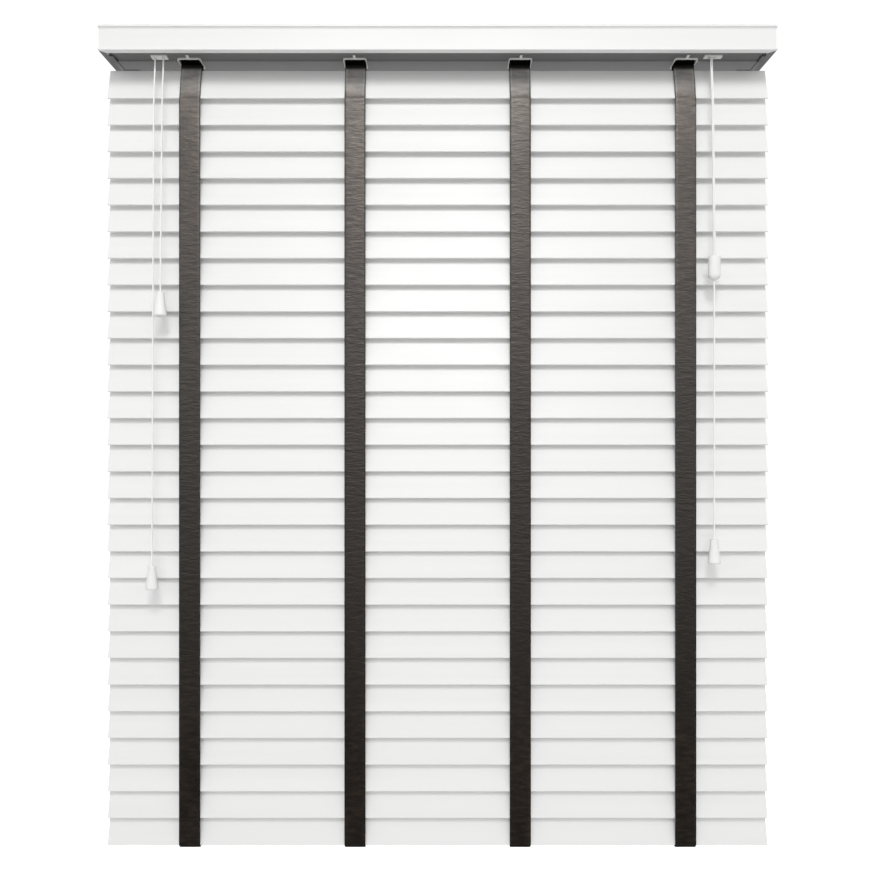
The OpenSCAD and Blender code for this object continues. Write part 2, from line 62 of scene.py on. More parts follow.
MM = 0.001
SLAT_W, SLAT_T = 50.8 * MM, 3 * MM
PITCH = 42 * MM
TILT = math.radians(15)
SLAT_COUNT, GATHERED = 28, 3
FIRST_SLAT_Z = -73.2 * MM
TAPE_X = [-390 * MM, -130 * MM, 130 * MM, 390 * MM]
TAPE_W, TAPE_T = 33 * MM, 0.9 * MM
ROD_Z, DRUM_R = -26 * MM, 6 * MM
HEAD_H = 40 * MM
LIFT_CORD_D, PULL_CORD_D = 1.8 * MM, 2.4 * MM
TILTER_X, PULLEY_R, HANG_Y = -434 * MM, 6.5 * MM, -36 * MM
LOCK_X, LOCK_Y, LOCK_Z = 426.6 * MM, -22 * MM, -37 * MM
LONG_TOP, SHORT_TOP, LIFT_TOP = -829 * MM, -408 * MM, -789 * MM
JOINER_TOP, TASSEL_H = -352 * MM, 37 * MM
BUNDLE_STEP = 0.94 * MM
RAIL_W, RAIL_T = 51.6 * MM, 11 * MM
RAIL_FRONT = -SLAT_T / 2
RAIL_BACK = RAIL_FRONT + RAIL_T

# From a slat's middle to its upper edge, and out of its room-side face, as (y, z)
EDGE = Vector((math.sin(TILT), math.cos(TILT))) * SLAT_W / 2
FACE = Vector((-math.cos(TILT), math.sin(TILT)))
# How far the tapes hang in front of and behind the slats' middles
TAPE_MID = EDGE[0] + SLAT_T / 2 + 1.5 * MM + TAPE_T / 2


def slat_z(k):
    return FIRST_SLAT_Z - PITCH * (k - 1)


def slat_body(k):
    return f"slat_{k:02d}"


def tape_at(side, k):
    """Where a front (-1) or rear (1) tape passes the edge of slat k."""
    return slat_z(k) + side * EDGE[1]


RAIL_Z = slat_z(SLAT_COUNT + 1)
LOW_SLAT = SLAT_COUNT - GATHERED

# ---------- camera ----------

camera = bpy.data.objects.new("camera", bpy.data.cameras.new("camera"))
bpy.context.scene.collection.objects.link(camera)
bpy.context.scene.camera = camera
camera.data.lens = 35
camera.data.sensor_width = 36
camera.location = (0.0037, -1.355, -0.6357)
camera.rotation_euler = (math.radians(90), 0, 0)

# ---------- mesh helpers ----------


def mesh_object(name, verts, faces, uvs=None, smooth=True):
    """uvs has one pair for each corner of each face."""
    mesh = bpy.data.meshes.new(name)
    mesh.from_pydata([tuple(v) for v in verts], [], faces)
    if uvs:
        layer = mesh.uv_layers.new(name="UVMap")
        for corner, uv in zip(layer.data, uvs):
            corner.uv = uv
    mesh.polygons.foreach_set("use_smooth", [smooth] * len(mesh.polygons))
    mesh.update()
    obj = bpy.data.objects.new(name, mesh)
    bpy.context.scene.collection.objects.link(obj)
    return obj


def sweep(name, rings, around, along):
    """Joins rings of points into a closed skin with flat ends. around and along are the u and v."""
    n = len(rings[0])
    verts = [p for ring in rings for p in ring]
    faces, uvs = [], []
    for i in range(len(rings) - 1):
        for s in range(n):
            t = (s + 1) % n
            faces.append((i * n + s, i * n + t, (i + 1) * n + t, (i + 1) * n + s))
            u0, u1 = around[s], around[s + 1]
            uvs += [(u0, along[i]), (u1, along[i]), (u1, along[i + 1]), (u0, along[i + 1])]
    last = (len(rings) - 1) * n
    faces += [tuple(range(n - 1, -1, -1)), tuple(range(last, last + n))]
    uvs += [(0, along[0])] * n + [(0, along[-1])] * n
    return flat_ends(mesh_object(name, verts, faces, uvs))


def flat_ends(obj):
    """Faces with more than four corners are ends. They are flat, and the skin isn't shaded towards them."""
    mesh = obj.data
    for face in mesh.polygons:
        if len(face.vertices) > 4:
            face.use_smooth = False
            for loop in face.loop_indices:
                mesh.edges[mesh.loops[loop].edge_index].use_edge_sharp = True
    return obj


def join(name, objects):
    """One object from several meshes, built by adding up their parts."""
    verts, faces, uvs = [], [], []
    for o in objects:
        base = len(verts)
        verts += [v.co.copy() for v in o.data.vertices]
        faces += [tuple(base + i for i in p.vertices) for p in o.data.polygons]
        uvs += [tuple(c.uv) for c in o.data.uv_layers[0].data]
        bpy.data.objects.remove(o)
    return flat_ends(mesh_object(name, verts, faces, uvs))


def smooth_path(points, step):
    """A Catmull-Rom curve through the points, with a point about every step."""
    p = [Vector(q) for q in points]
    p = [2 * p[0] - p[1]] + p + [2 * p[-1] - p[-2]]
    out = [p[1]]
    for a, b, c, d in zip(p, p[1:], p[2:], p[3:]):
        count = max(1, round((c - b).length / step))
        # Tangents are scaled to this span, so that uneven points don't overshoot
        span = (c - b).length
        m0 = (c - a) / ((c - b).length + (b - a).length) * span
        m1 = (d - b) / ((d - c).length + (c - b).length) * span
        for s in range(1, count + 1):
            t = s / count
            out.append((2 * t**3 - 3 * t**2 + 1) * b + (t**3 - 2 * t**2 + t) * m0
                       + (3 * t**2 - 2 * t**3) * c + (t**3 - t**2) * m1)
    return out


def lengths(path):
    total = [0.0]
    for a, b in zip(path, path[1:]):
        total.append(total[-1] + (b - a).length)
    return total


def tube(name, path, radius, sides=12):
    """A round tube along a path."""
    rings, u = [], None
    for i, p in enumerate(path):
        t = (path[min(i + 1, len(path) - 1)] - path[max(i - 1, 0)]).normalized()
        if u is None:
            u = t.cross(Vector((1, 1, 1))).normalized()
        u = (u - t * u.dot(t)).normalized()
        v = t.cross(u)
        rings.append([p + (u * math.cos(a) + v * math.sin(a)) * radius
                      for a in [2 * math.pi * s / sides for s in range(sides)]])
    return sweep(name, rings, [s / sides for s in range(sides + 1)], lengths(path))


# How fast a strip's edges wave along it, and its faces ripple across and along it, per metre
EDGE_WAVES, FACE_RIPPLES_ACROSS, FACE_RIPPLES_ALONG = 260, 300, 420


def ribbon(name, path, x, width, thickness, columns=10, seed=0.0, wave=0.12 * MM, ripple=0.1 * MM):
    """A cloth strip across X, along a path of (y, z) points. Its edges wave and its faces ripple a little."""
    rings, at = [], lengths([Vector((0, *p)) for p in path])
    for i, p in enumerate(path):
        a, b = path[max(i - 1, 0)], path[min(i + 1, len(path) - 1)]
        t = Vector((b[0] - a[0], b[1] - a[1])).normalized()
        normal = Vector((0, t[1], -t[0]))
        w = width / 2
        edge_spots = [Vector((seed + 7 * e, p[0] * EDGE_WAVES, p[1] * EDGE_WAVES)) for e in (0, 1)]
        sway = [noise.noise(spot) * wave for spot in edge_spots]
        front, back = [], []
        for c in range(columns + 1):
            u = c / columns
            px = x - w - sway[0] + (2 * w + sway[0] + sway[1]) * u
            spot = (px * FACE_RIPPLES_ACROSS + seed, p[0] * FACE_RIPPLES_ALONG, p[1] * FACE_RIPPLES_ALONG)
            lift = noise.noise(Vector(spot)) * ripple
            # A rolled edge: the strip thins where it ends
            half = thickness / 2 * (1 - 0.45 * (2 * abs(u - 0.5)) ** 10)
            base = Vector((px, p[0], p[1])) + normal * lift
            front.append(base + normal * half)
            back.append(base - normal * half)
        rings.append(front + back[::-1])
    around = [c / columns for c in range(columns + 1)] + [c / columns for c in range(columns, -1, -1)]
    return sweep(name, rings, around + [0], at)


def arc2(c, r, start, end, steps):
    """Points of an arc in the (y, z) plane, between two angles in degrees."""
    return [(c[0] + r * math.cos(a), c[1] + r * math.sin(a))
            for a in [math.radians(start + (end - start) * s / steps) for s in range(steps + 1)]]


def smooth2(points, step):
    """smooth_path for (y, z) points."""
    return [(p[1], p[2]) for p in smooth_path([(0, *q) for q in points], step)]


# ---------- material helpers ----------


def material(name):
    mat = bpy.data.materials.new(name)
    mat.use_nodes = True
    return mat, mat.node_tree, mat.node_tree.nodes["Principled BSDF"]


def node(tree, kind, inputs=None, **settings):
    n = tree.nodes.new(kind)
    for key, value in settings.items():
        setattr(n, key, value)
    for key, value in (inputs or {}).items():
        if isinstance(value, bpy.types.NodeSocket):
            tree.links.new(value, n.inputs[key])
        else:
            n.inputs[key].default_value = value
    return n


def object_coords(tree, scale=(1, 1, 1)):
    coords = node(tree, "ShaderNodeTexCoord")
    return node(tree, "ShaderNodeMapping", {"Vector": coords.outputs["Object"], "Scale": scale}).outputs[0]


def uv_coords(tree, scale=(1, 1, 1)):
    coords = node(tree, "ShaderNodeUVMap", uv_map="UVMap")
    return node(tree, "ShaderNodeMapping", {"Vector": coords.outputs[0], "Scale": scale}).outputs[0]


def noise_of(tree, vector, scale, detail=2.0, rough=0.5):
    return node(tree, "ShaderNodeTexNoise",
                {"Vector": vector, "Scale": scale, "Detail": detail, "Roughness": rough}).outputs[0]


def ramp(tree, value, stops):
    """A colour ramp. stops are (place, (r, g, b))."""
    n = node(tree, "ShaderNodeValToRGB", {"Fac": value})
    while len(n.color_ramp.elements) < len(stops):
        n.color_ramp.elements.new(0.5)
    for element, (place, colour) in zip(n.color_ramp.elements, stops):
        element.position = place
        element.color = (*colour, 1)
    return n.outputs[0]


def grey(value):
    return (value, value, value)


def grey_ramp(tree, value, stops):
    """A ramp of greys. stops are (place, brightness)."""
    return ramp(tree, value, [(place, grey(level)) for place, level in stops])


def map_range(tree, value, start, end, low=0.0, high=1.0):
    return node(tree, "ShaderNodeMapRange", {"Value": value, "From Min": start, "From Max": end,
                                             "To Min": low, "To Max": high}).outputs[0]


def spread(tree, value, low, high):
    """Noise lies mostly between 0.3 and 0.7. This spreads it over low to high."""
    return map_range(tree, value, 0.3, 0.7, low, high)


def mix_colours(tree, kind, factor, a, b):
    """Two colours mixed by kind, such as MULTIPLY. Each may be a colour or a socket."""
    return node(tree, "ShaderNodeMix", {0: factor, 6: a, 7: b}, data_type="RGBA", blend_type=kind).outputs[2]


def math_node(tree, operation, a, b=None):
    n = node(tree, "ShaderNodeMath", {0: a}, operation=operation)
    if b is not None:
        if isinstance(b, bpy.types.NodeSocket):
            tree.links.new(b, n.inputs[1])
        else:
            n.inputs[1].default_value = b
    return n.outputs[0]


def bump(tree, bsdf, height, distance):
    n = node(tree, "ShaderNodeBump", {"Height": height, "Strength": 1.0, "Distance": distance})
    tree.links.new(n.outputs[0], bsdf.inputs["Normal"])


def finish_of(name, dark, light, rough, scale, grain, bump_scale, bump_height, metallic=0.0, coat=0.0):
    """A rigid finish. Its colour drifts between dark and light and its roughness over rough, and fine noise
    stands as bump. grain is the stretch of the noise along X, Y and Z."""
    mat, tree, bsdf = material(name)
    drift = noise_of(tree, object_coords(tree, grain), scale, 3.0, 0.55)
    tree.links.new(ramp(tree, drift, [(0.3, dark), (0.7, light)]), bsdf.inputs["Base Color"])
    patch = noise_of(tree, object_coords(tree), scale * 0.6)
    tree.links.new(spread(tree, patch, *rough), bsdf.inputs["Roughness"])
    fine = noise_of(tree, object_coords(tree, grain), bump_scale, 3.0, 0.6)
    bump(tree, bsdf, fine, bump_height)
    bsdf.inputs["Metallic"].default_value = metallic
    bsdf.inputs["Coat Weight"].default_value = coat
    return mat


# Painted basswood: the grain runs along the slats and just shows through the satin paint
WHITE_LOW, WHITE_HIGH = (0.765, 0.765, 0.76), (0.79, 0.79, 0.785)


def board_finish(name):
    return finish_of(name, WHITE_LOW, WHITE_HIGH, (0.38, 0.48), 7, (0.12, 5, 5), 50, 0.03 * MM)


slat_paint = finish_of("slat_paint", WHITE_LOW, WHITE_HIGH, (0.36, 0.46), 9, (0.12, 6, 6), 60, 0.012 * MM)
board_paint = board_finish("board_paint")
# A copy of the board's paint that gets painted shade on the returns' undersides
return_paint_shaded = board_finish("return_paint_shaded")
# Roll-formed and powder-coated steel. Its dark grey is set to how dark the headrail's underside is in its
# shade, and the brackets and their gates take it so their undersides are as dark.
coated_steel = finish_of("coated_steel", grey(0.205), grey(0.225), (0.4, 0.5), 14,
                         (1, 1, 1), 900, 0.02 * MM)


def place_in(mat):
    """The object's y and z, as sockets of a material."""
    tree = mat.node_tree
    return node(tree, "ShaderNodeSeparateXYZ", {"Vector": object_coords(tree)}).outputs[1:3]


def darken(mat, where, factor):
    """Paints shade: multiplies a finish's colour by factor where the socket is 1."""
    tree, base = mat.node_tree, mat.node_tree.nodes["Principled BSDF"].inputs["Base Color"]
    darker = mix_colours(tree, "MULTIPLY", where, base.links[0].from_socket, (*grey(factor), 1))
    tree.links.new(darker, base)


def paint_shade_on_floor_front(mat, step_y, floor_top):
    """Painted shade: the front of the headrail's floor, up to the step in it, is darker than the rest, as the
    valance shades it.
    """
    tree = mat.node_tree
    y, z = place_in(mat)
    in_front = map_range(tree, y, step_y + 0.2 * MM, step_y - 0.6 * MM)
    below = map_range(tree, z, floor_top + 0.1 * MM, floor_top - 0.1 * MM)
    darken(mat, math_node(tree, "MULTIPLY", in_front, below), 0.6)


def paint_shade_under_returns(mat, foot):
    """Painted shade: the undersides of the valance's returns are darkened to as dark as the headrail's
    underside.
    """
    _, z = place_in(mat)
    darken(mat, map_range(mat.node_tree, z, foot + 0.3 * MM, foot + 0.1 * MM), 0.19)


# Painted shade on the front strip of the headrail's floor
paint_shade_on_floor_front(coated_steel, -7 * MM, -HEAD_H + 2.5 * MM)
# Painted shade on the undersides of the valance's returns
paint_shade_under_returns(return_paint_shaded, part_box("valance_returns")[0][2])
zinc = finish_of("zinc_plate", (0.55, 0.56, 0.57), (0.68, 0.69, 0.70), (0.28, 0.42), 60,
                 (1, 1, 1), 1500, 0.01 * MM, metallic=1.0)
steel_rod = finish_of("drawn_steel", (0.50, 0.50, 0.51), (0.62, 0.62, 0.63), (0.25, 0.38), 90,
                      (0.05, 1, 1), 1200, 0.01 * MM, metallic=1.0)
brass = finish_of("brass", (0.68, 0.50, 0.24), (0.78, 0.60, 0.31), (0.25, 0.36), 200,
                  (1, 1, 1), 1500, 0.01 * MM, metallic=1.0)
white_plastic = finish_of("white_plastic", (0.76, 0.76, 0.74), (0.80, 0.80, 0.78), (0.34, 0.44), 60,
                          (1, 1, 1), 700, 0.015 * MM)
nylon = finish_of("nylon", (0.66, 0.64, 0.57), (0.72, 0.70, 0.64), (0.42, 0.52), 80,
                  (1, 1, 1), 900, 0.015 * MM)
dark_nylon = finish_of("dark_nylon", (0.045, 0.045, 0.048), (0.065, 0.065, 0.07), (0.38, 0.5), 120,
                       (1, 1, 1), 900, 0.015 * MM)
tassel_paint = finish_of("tassel_paint", (0.80, 0.80, 0.79), (0.84, 0.84, 0.83), (0.3, 0.4), 120,
                         (1, 1, 0.2), 500, 0.02 * MM, coat=0.15)

# Strands that wind each way round a cord
BRAID_STRANDS = 8


def braided(name, dark, light, turns_per_m):
    """A braided cord: two sets of strands wind opposite ways round it. u goes round and v along, in metres.
    turns_per_m is how often a strand goes round in a metre."""
    mat, tree, bsdf = material(name)
    uv = node(tree, "ShaderNodeSeparateXYZ", {"Vector": uv_coords(tree, (BRAID_STRANDS, turns_per_m, 1))})
    u, v = uv.outputs[0], uv.outputs[1]
    strands = []
    for way in ("ADD", "SUBTRACT"):
        turn = math_node(tree, "MULTIPLY", math_node(tree, way, u, v), 2 * math.pi)
        strands.append(math_node(tree, "SINE", turn))
    weave = math_node(tree, "MAXIMUM", *strands)
    shade = math_node(tree, "MULTIPLY", math_node(tree, "ADD", weave, 1.0), 0.5)
    tree.links.new(ramp(tree, shade, [(0.1, dark), (0.7, light)]), bsdf.inputs["Base Color"])
    fuzz = noise_of(tree, object_coords(tree), 3000)
    tree.links.new(spread(tree, fuzz, 0.6, 0.75), bsdf.inputs["Roughness"])
    bsdf.inputs["Sheen Weight"].default_value = 0.15
    bump(tree, bsdf, shade, 0.12 * MM)
    return mat


cord_white = braided("braided_cord", (0.80, 0.80, 0.79), (0.93, 0.93, 0.92), 260)


def weighted(tree, parts):
    """The sum of sockets, each times its weight."""
    total = None
    for socket, weight in parts:
        part = math_node(tree, "MULTIPLY", socket, weight)
        total = part if total is None else math_node(tree, "ADD", total, part)
    return total


def tape_cloth():
    """Dark woven tape with a leather-like, crumpled grain across it and darker selvedges."""
    mat, tree, bsdf = material("ladder_tape")
    crumple = noise_of(tree, object_coords(tree, (0.38, 0.6, 1.0)), 430, 4.0, 0.65)
    fold = noise_of(tree, object_coords(tree, (0.30, 0.6, 1.0)), 170, 2.0, 0.5)
    drift = noise_of(tree, object_coords(tree, (1, 1, 0.4)), 16, 3.0, 0.6)
    height = weighted(tree, [(crumple, 1.0), (fold, 1.4)])
    tone = weighted(tree, [(crumple, 0.3), (drift, 0.25), (fold, 0.45)])
    z = node(tree, "ShaderNodeSeparateXYZ", {"Vector": object_coords(tree)}).outputs[2]
    # Painted light and shade: the cloth's colour is painted lighter towards the top, as a sheen, and black
    # inside the headrail, as painted shade
    place = map_range(tree, z, -1.3, 0.0)
    base = ramp(tree, place, [(0.10, (0.0123, 0.0096, 0.0078)), (0.23, (0.0115, 0.0092, 0.0070)),
                              (0.38, (0.0060, 0.0046, 0.0037)), (0.54, (0.0070, 0.0053, 0.0044)),
                              (0.84, (0.0290, 0.0240, 0.0210)), (0.925, (0.068, 0.061, 0.056)),
                              (0.940, (0.175, 0.169, 0.162)), (0.961, (0.285, 0.277, 0.269)),
                              (0.965, (0.010, 0.010, 0.009)), (0.969, (0.001, 0.001, 0.001))])
    gloss = grey_ramp(tree, place, [(0.10, 0.2), (0.23, 0.55), (0.38, 0.93), (0.5, 1.0), (0.925, 1.0),
                                    (0.967, 0.03)])
    tree.links.new(gloss, bsdf.inputs["Specular IOR Level"])
    mottle = ramp(tree, tone, [(0.38, grey(0.40)), (0.50, grey(0.98)), (0.62, (2.0, 1.80, 1.65))])
    # Next to the drums the tape is new and smooth
    worn = map_range(tree, z, -110 * MM, -75 * MM, 1.0, 0.3)
    cloth = mix_colours(tree, "MULTIPLY", worn, base, mottle)
    u = node(tree, "ShaderNodeSeparateXYZ", {"Vector": uv_coords(tree)}).outputs[0]
    rim = math_node(tree, "MULTIPLY", math_node(tree, "ABSOLUTE", math_node(tree, "SUBTRACT", u, 0.5)), 2.0)
    selvedge = ramp(tree, rim, [(0.70, grey(1.0)), (0.80, (1.25, 1.30, 1.25)), (0.90, (1.2, 1.25, 1.2)),
                                (0.97, grey(0.55)), (1.0, grey(0.4))])
    tree.links.new(mix_colours(tree, "MULTIPLY", 1.0, cloth, selvedge), bsdf.inputs["Base Color"])
    tree.links.new(spread(tree, tone, 0.46, 0.36), bsdf.inputs["Roughness"])
    bsdf.inputs["Specular Tint"].default_value = (1.0, 0.92, 0.86, 1)
    bump(tree, bsdf, math_node(tree, "MULTIPLY", height, worn), 0.5 * MM)
    return mat


tape_mat = tape_cloth()


def dress(obj, mat):
    obj.data.materials.clear()
    obj.data.materials.append(mat)
    return obj


# ---------- cords in the room ----------

# A cord ends in a knot this far below its tassel's top
TASSEL_FOOT = TASSEL_H - 8 * MM


def along_y(points, x):
    """Points at x, from (y, z) pairs in millimetres."""
    return [Vector((x, y * MM, z * MM)) for y, z in points]


def tilt_path(x, top):
    """Out of the tilter, over the headrail's lip and straight down into the tassel."""
    route = [(-21, -30), (-21, -42), (-22, -56), (-24.5, -82), (-27.2, -112), (-28, -140)]
    points = along_y(route, x)
    above = Vector((x, HANG_Y, top + 12 * MM))
    points += [points[-1].lerp(above, s / 12) for s in range(1, 12)]
    return smooth_path(points + [above, (x, HANG_Y, top), (x, HANG_Y, top - TASSEL_FOOT)], 8 * MM)


def knot(name, centre, size, body):
    """The cord's end, tied in a trefoil knot."""
    path = []
    for turn in [2 * math.pi * s / 48 for s in range(49)]:
        x = math.sin(turn) + 2 * math.sin(2 * turn)
        y = math.cos(turn) - 2 * math.cos(2 * turn)
        path.append(Vector(centre) + size * Vector((x, y, -math.sin(3 * turn))) / 3)
    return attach(dress(tube(name, path, 0.85 * MM, 8), cord_white), body)


def free_cord(piece, node_name):
    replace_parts(piece, node_name)


def pulled_cord(name, path, diameter, node_name):
    """A cord along a path from its outlet, which takes the place of the CAD node it hides."""
    piece = dress(tube(name, path, diameter / 2), cord_white)
    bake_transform(piece)
    free_cord(piece, node_name)


for name, x, top in (("long", TILTER_X - PULLEY_R, LONG_TOP), ("short", TILTER_X + PULLEY_R, SHORT_TOP)):
    body = f"tilt_pull_{name}"
    end = knot(f"tilt_knot_{name}", (x, HANG_Y, top - TASSEL_FOOT - 3 * MM), 1.7 * MM, body)
    pulled_cord(f"tilt_cord_{name}_braid", tilt_path(x, top), PULL_CORD_D, f"tilt_cord_{name}")


def in_bundle(i):
    """The four lift cords hang side by side, two and two."""
    return Vector((1 - i // 2 * 2, 1 - i % 2 * 2, 0)) * BUNDLE_STEP


strand_route = [(-22, -37), (-22, -48), (-24.5, -78), (-28, -112), (-29, -140), (-31.5, -200), (-34, -260),
                (-36, -320)]
for i in range(4):
    points = [p + in_bundle(i) for p in along_y(strand_route, LOCK_X)]
    points += [Vector((LOCK_X, HANG_Y, JOINER_TOP + z * MM)) + in_bundle(i) for z in (20, 0, -20)]
    # The strands are knotted one above the other inside the joiner
    above_end = Vector((0, 0, (4 + 3 * i) * MM))
    end = knot(f"lift_strand_knot_{i + 1}", points[-1] + above_end, 1.2 * MM, "lift_pull")
    path = smooth_path(points, 8 * MM)
    pulled_cord(f"lift_strand_{i + 1}", path, LIFT_CORD_D, "pull_cords")

pull_start, pull_end = JOINER_TOP - 24 * MM, LIFT_TOP - TASSEL_FOOT
pull_path = smooth_path([(LOCK_X, HANG_Y, pull_start + (pull_end - pull_start) * s / 14) for s in range(15)],
                        10 * MM)
pull_knot = knot("lift_knot", (LOCK_X, HANG_Y, pull_end - 3 * MM), 1.7 * MM, "lift_pull")
joiner_knot = knot("joiner_knot", (LOCK_X, HANG_Y, pull_start - 2 * MM), 1.7 * MM, "lift_pull")
pull = dress(tube("lift_pull_cord", pull_path, PULL_CORD_D / 2), cord_white)
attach(pull, "lift_pull")
free_cord(pull, "pull_cords")

# ---------- lift cords inside the blind ----------


def lift_route(i):
    """The same route as part.scad's, from the cradle's saddle along the headrail's back to the lock."""
    x, turn_y, turn_z = TAPE_X[i], 6.2 * MM, -33.9 * MM
    lane_y, lane_z = (24.9 - 2.3 * (i // 2)) * MM, (-37.7 + 2.3 * (i % 2)) * MM
    lock = Vector((LOCK_X, LOCK_Y, LOCK_Z)) + in_bundle(i)
    rise = -in_bundle(i)[1]
    route = [(x, turn_y - 0.7 * MM, turn_z - 4 * MM), (x + 1.5 * MM, turn_y - 0.2 * MM, turn_z - 1 * MM),
             (x + 5 * MM, turn_y, turn_z), (x + 22.8 * MM, turn_y, turn_z)]
    # The last tape is so near the lock that its cord needs no lane along the back
    if i < 3:
        route += [(x + 34 * MM, lane_y, lane_z), (lock[0] - 8 * MM, lane_y, lane_z),
                  (lock[0], lane_y - 8 * MM, -35 * MM + rise)]
    route.append((lock[0], -6 * MM, -32.6 * MM + rise))
    return route + [lock + Vector((0, y * MM, z * MM)) for y, z in ((5, 5), (1.2, 4.2), (0, 2), (0, 0))]


SLAT_1 = Vector((0, FIRST_SLAT_Z))
cord_lie = SLAT_T / 2 + LIFT_CORD_D / 2 + 0.3 * MM
over_slat_1 = SLAT_1 + EDGE + FACE * cord_lie
hang_low, hang_high = RAIL_Z + 5 * MM, FIRST_SLAT_Z
drop = hang_high - hang_low
for i, x in enumerate(TAPE_X):
    hang = [Vector((x, 0, hang_low + drop * s / 100)) for s in range(101)]
    lower = dress(tube(f"lift_cord_{i + 1}", hang, LIFT_CORD_D / 2, 10), cord_white)
    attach(lower, "root")
    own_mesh(lower)
    head = smooth_path([(x, 0, hang_high), (x, 0, hang_high + 8 * MM), (x, 0.4 * MM, hang_high + 12.5 * MM),
                        (x, *over_slat_1)] + lift_route(i), 4 * MM)
    upper = dress(tube(f"lift_cord_head_{i + 1}", head, LIFT_CORD_D / 2, 10), cord_white)
    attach(upper, "root")
    for piece in (lower, upper):
        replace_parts(piece, "lift_cords")

# ---------- ladder tapes ----------

CELLS = [f"ladder_cell_{k}" for k in range(LOW_SLAT + 1, SLAT_COUNT + 1)] + ["ladder_cell_rail"]
# How far a lead's middle line stays above what it lies on
LEAD_GAP = 0.9 * MM


def tape_piece(name, path, x, seed, cad_nodes):
    piece = dress(ribbon(name, path, x, TAPE_W, TAPE_T, seed=seed), tape_mat)
    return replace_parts(piece, *cad_nodes)


def front_lead():
    """Off the front of the drum, over the first slat's lift cords and down its room side, as (y, z)."""
    wound = arc2((0, ROD_Z), DRUM_R + LEAD_GAP, 105, 180, 6)
    out = [(-6.1 * MM, ROD_Z - 3.6 * MM), (0, -36.4 * MM), (1.6 * MM, -40.5 * MM)]
    over_cord = FACE * (SLAT_T / 2 + LIFT_CORD_D + LEAD_GAP + TAPE_T / 2)
    past_cord = SLAT_1 - EDGE * 0.9 + FACE * (SLAT_T / 2 + LEAD_GAP)
    over_slat = [SLAT_1 + EDGE + over_cord, SLAT_1 + over_cord, past_cord]
    hang_z = tape_at(-1, 1)
    return wound + out + over_slat + [(-TAPE_MID, hang_z - 2 * MM), (-TAPE_MID, hang_z - 6 * MM)]


def rear_lead():
    """Off the back of the drum and straight down behind the slats, as (y, z)."""
    return [(4.6 * MM, -19.6 * MM), (7.2 * MM, -22.4 * MM), (8.4 * MM, -27 * MM), (TAPE_MID, -36 * MM),
            (TAPE_MID, tape_at(1, 1)), (TAPE_MID, -75 * MM)]


# The rear tape is fixed here on the drum
REAR_ANCHOR = (-5.85 * MM, -18.5 * MM)


def straight(y, high, low):
    count = round((high - low) / (3 * MM))
    return [(y, high + (low - high) * s / count) for s in range(count + 1)]


def rail_point(y, z):
    """A point of the tilted bottom rail's section, as (y, z)."""
    return (y * math.cos(TILT) + z * math.sin(TILT), RAIL_Z - y * math.sin(TILT) + z * math.cos(TILT))


def rail_wrap(side):
    """From a tape's foot round the rail's edge to the button behind, as (y, z)."""
    gap = 0.15 * MM + TAPE_T / 2
    edge_z, back = side * (RAIL_W / 2 + gap), RAIL_BACK + gap
    # The front end hangs a little slack under the rail
    start = [(-1.0, -0.9), (0.2, -1.9), (3, -1.6)] if side < 0 else [(4, 0)]
    wrap = [(y * MM, edge_z + z * MM) for y, z in start]
    wrap += [(RAIL_BACK - 2.6 * MM, edge_z), (back, edge_z - side * 4.3 * MM), (back, side * 14 * MM),
             (back, side * 0.3 * MM)]
    return [rail_point(*p) for p in smooth2(wrap, 2 * MM)]


for t, x in enumerate(TAPE_X, 1):
    for side, word in ((-1, "front"), (1, "rear")):
        seed, body = 17.3 * t + 5 * side, f"{word}_tape_set"
        y, low = side * TAPE_MID, tape_at(side, LOW_SLAT)
        # The front tape is taken up inside the headrail, and the rear one is drawn out of it
        if side < 0:
            lead = smooth2(front_lead(), 2.5 * MM)
        else:
            lead = [REAR_ANCHOR] + smooth2(rear_lead(), 2.5 * MM)
        long = tape_piece(f"{word}_tape_{t}", lead[:-1] + straight(y, lead[-1][1], low), x, seed,
                          ["tape_leads", f"{word}_tapes"])
        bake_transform(long)
        cells = straight(y, low, tape_at(side, SLAT_COUNT + 1))
        foot = tape_piece(f"{word}_tape_low_{t}", cells, x, seed, CELLS)
        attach(foot, body)
        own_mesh(foot)
        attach(tape_piece(f"{word}_tape_end_{t}", rail_wrap(side), x, seed, ["tape_ends"]), "bottom_rail")

# ---------- rungs that carry the slats ----------

RUNG_W, RUNG_T, RUNG_X = 6.5 * MM, 0.24 * MM, 8 * MM
RUNG_UNDER = SLAT_T / 2 + RUNG_T / 2 + 0.04 * MM


def rung_path(k):
    """Under slat k from edge to edge, with its ends turned up towards the tapes, as (y, z)."""
    stops = [(-1.035, 0.2), (-1.0, 1.0)] + [(s / 10, 1.0) for s in range(-9, 10)] + [(1.0, 1.0), (1.035, 0.2)]
    middle = Vector((0, slat_z(k)))
    return [tuple(middle + EDGE * across - FACE * RUNG_UNDER * under) for across, under in stops]


for k in range(1, SLAT_COUNT + 1):
    rungs = [ribbon("rung", rung_path(k), x + dx, RUNG_W, RUNG_T, columns=4, seed=k + x * 10 + dx * 900,
                    wave=0.05 * MM, ripple=0.02 * MM) for x in TAPE_X for dx in (-RUNG_X, RUNG_X)]
    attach(dress(join(f"rungs_{k:02d}", rungs), tape_mat), slat_body(k))

# ---------- finishes of the CAD pieces ----------

FINISHES = {
    coated_steel: ["headrail", "brackets", "bracket_gates"],
    zinc: ["valance_clips"],
    board_paint: ["valance_board", "bottom_rail"],
    return_paint_shaded: ["valance_returns"],
    slat_paint: [slat_body(k) for k in range(1, SLAT_COUNT + 1)],
    white_plastic: ["cradles", "tilter_housing", "cord_lock_housing", "rail_buttons"],
    nylon: ["ladder_drums", "tilter_gear"],
    dark_nylon: ["tilter_worm"],
    steel_rod: ["tilt_rod"],
    brass: ["lock_roller"],
    tassel_paint: ["tassel_long", "tassel_short", "lift_tassel", "cord_joiner"],
}
for mat, names in FINISHES.items():
    for name in names:
        dress(nodes[name], mat)

# ---------- room and light ----------

FLOOR_Z, FLOOR_HALF = -1.95, 9
